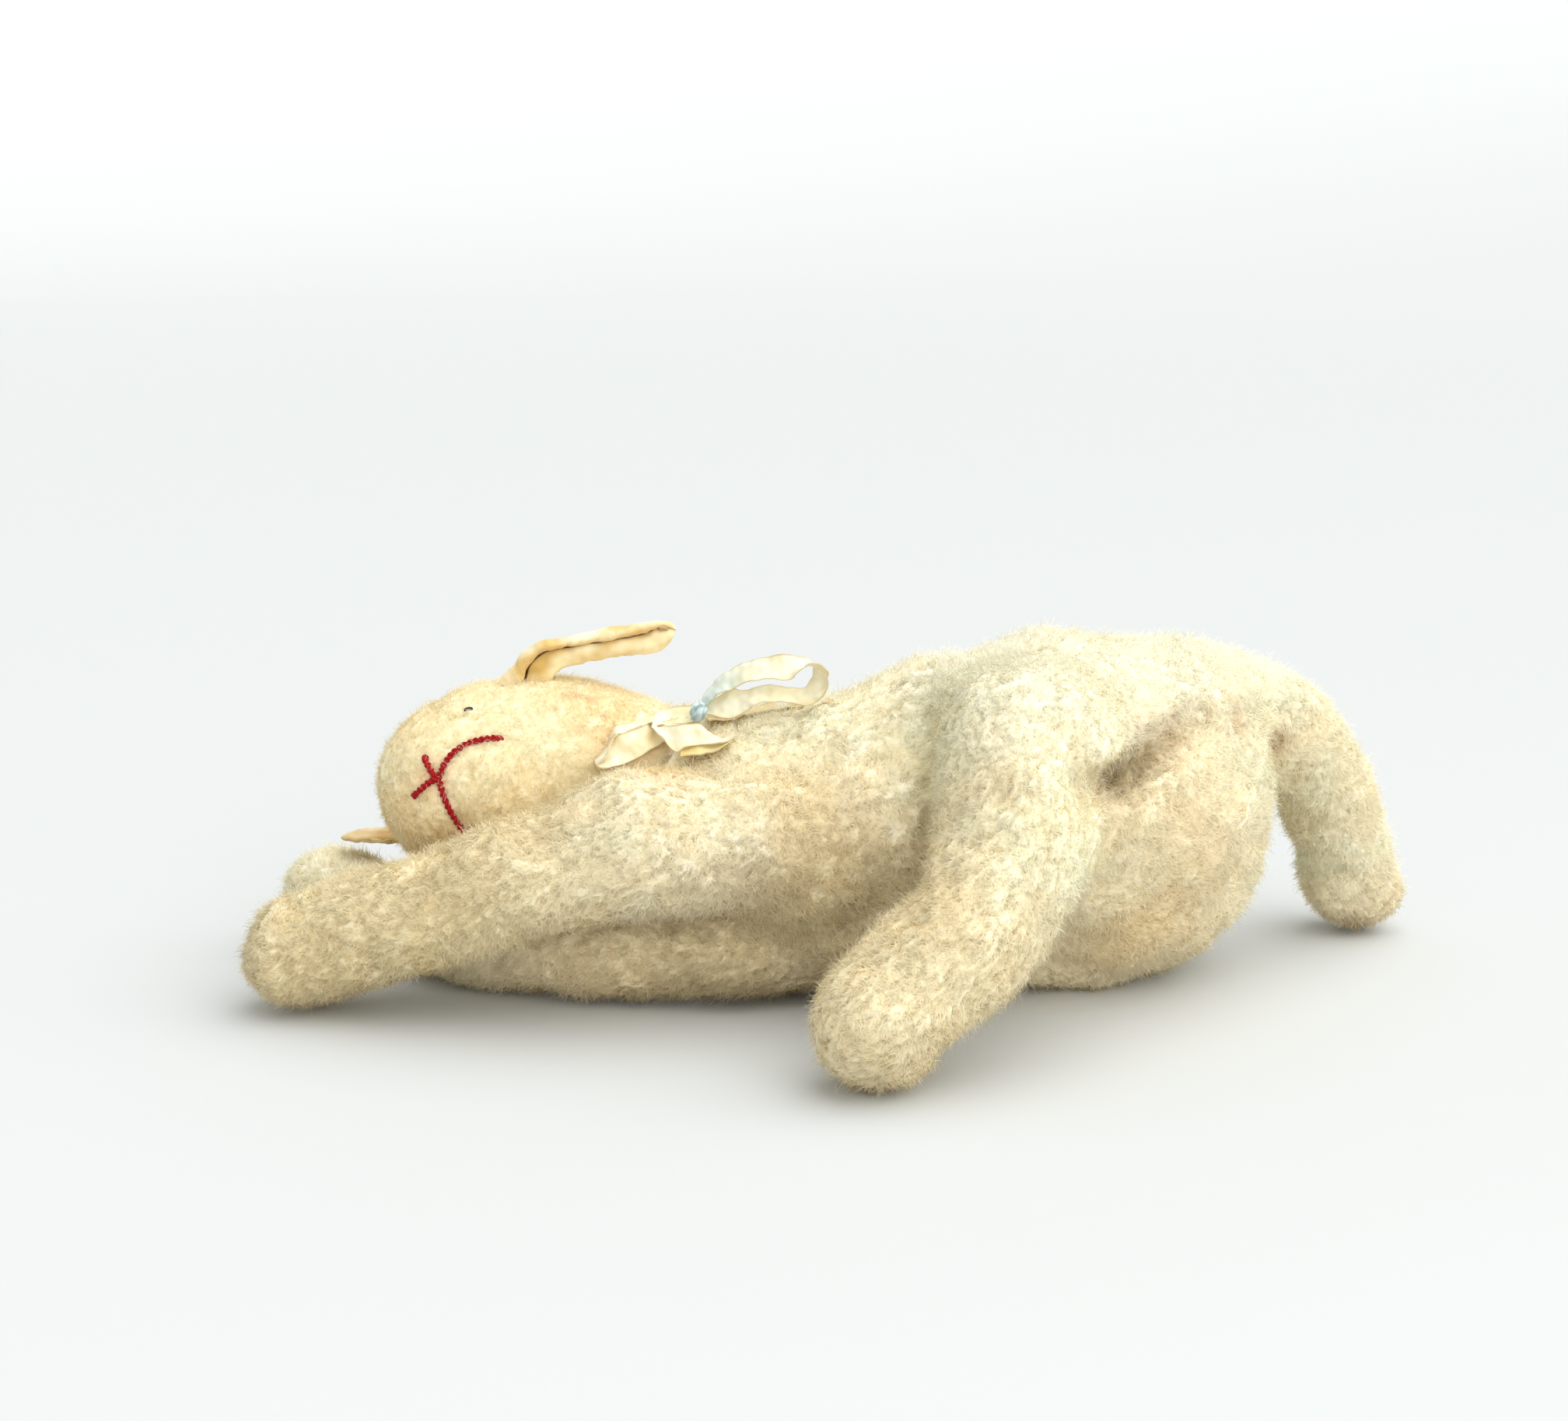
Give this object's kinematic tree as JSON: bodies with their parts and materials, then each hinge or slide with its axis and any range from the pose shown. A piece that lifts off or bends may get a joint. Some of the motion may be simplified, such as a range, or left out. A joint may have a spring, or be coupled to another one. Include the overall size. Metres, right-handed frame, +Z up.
{
  "type": "floppy plush rabbit",
  "caption": "Floppy stuffed rabbit lying sprawled on its side, with a ribbon bow, stitched face and jointed soft limbs.",
  "frame": {"origin": "middle of the footprint, on the floor the toy lies on", "axes": "+X runs from the front paws to the hind feet along the longest extent, +Z up from the floor; the near arm and leg are on the -Y side"},
  "size_m": [0.4312, 0.2208, 0.1319],
  "materials": {
    "body_fur": "matted wool-like pile",
    "head_fur": "short worn pile",
    "limb_fur": "matted wool-like pile",
    "stuffing": "loose fibre filling",
    "ear_knit": "worn knit backing with little pile",
    "ear_lining": "smooth cotton",
    "ribbon": "aged satin",
    "ribbon_knot": "aged satin",
    "red_yarn": "two-ply yarn",
    "eye_thread": "thread"
  },
  "bodies": {
    "torso": {"torso_back_panel": "body_fur", "torso_belly_panel": "body_fur", "torso_stuffing": "stuffing", "ribbon_collar": "ribbon", "bow_knot": "ribbon_knot", "bow_loop_upper": "ribbon", "bow_loop_lower": "ribbon", "bow_tail_long": "ribbon", "bow_tail_short": "ribbon"},
    "head": {"head_left_panel": "head_fur", "head_right_panel": "head_fur", "head_stuffing": "stuffing", "mouth_stitch_left": "red_yarn", "mouth_stitch_right": "red_yarn", "nose_stitch_left": "red_yarn", "nose_stitch_right": "red_yarn", "eye_stitch_left": "eye_thread", "eye_stitch_right": "eye_thread"},
    "left_ear": {"left_ear_back": "ear_knit", "left_ear_lining": "ear_lining"},
    "right_ear": {"right_ear_back": "ear_knit", "right_ear_lining": "ear_lining"},
    "left_arm": {"left_arm_upper_panel": "limb_fur", "left_arm_lower_panel": "limb_fur", "left_arm_stuffing": "stuffing"},
    "right_arm": {"right_arm_upper_panel": "limb_fur", "right_arm_lower_panel": "limb_fur", "right_arm_stuffing": "stuffing"},
    "left_leg": {"left_leg_outer_panel": "limb_fur", "left_leg_inner_panel": "limb_fur", "left_leg_stuffing": "stuffing"},
    "right_leg": {"right_leg_outer_panel": "limb_fur", "right_leg_inner_panel": "limb_fur", "right_leg_stuffing": "stuffing"}
  },
  "joints": [
    {"name": "neck", "type": "hinge", "parent": "torso", "child": "head", "pos_m": [-0.06885, 0.03545, 0.077], "axis": [0, 1, 0], "range_deg": [0, 20], "stiffness_Nm_per_rad": 0.4},
    {"name": "left_shoulder", "type": "hinge", "parent": "torso", "child": "left_arm", "pos_m": [-0.05685, -0.01655, 0.058], "axis": [0, 0, 1], "range_deg": [0, 60], "stiffness_Nm_per_rad": 0.15},
    {"name": "right_shoulder", "type": "hinge", "parent": "torso", "child": "right_arm", "pos_m": [-0.03585, 0.00595, 0.0186], "axis": [0, 0, -1], "range_deg": [0, 12], "stiffness_Nm_per_rad": 0.15},
    {"name": "left_hip", "type": "hinge", "parent": "torso", "child": "left_leg", "pos_m": [0.05615, -0.00855, 0.099], "axis": [-1, 0, 0], "range_deg": [0, 40], "stiffness_Nm_per_rad": 0.3},
    {"name": "right_hip", "type": "hinge", "parent": "torso", "child": "right_leg", "pos_m": [0.12815, 0.04645, 0.096], "axis": [0, 0, 1], "range_deg": [-11, 0], "stiffness_Nm_per_rad": 0.3},
    {"name": "left_ear_root", "type": "hinge", "parent": "head", "child": "left_ear", "pos_m": [-0.12185, 0.03945, 0.1136], "axis": [0, -1, 0], "range_deg": [0, 35], "stiffness_Nm_per_rad": 0.02},
    {"name": "right_ear_root", "type": "hinge", "parent": "head", "child": "right_ear", "pos_m": [-0.13685, 0.07645, 0.0466], "axis": [0, 1, 0], "range_deg": [0, 12], "stiffness_Nm_per_rad": 0.02}
  ]
}
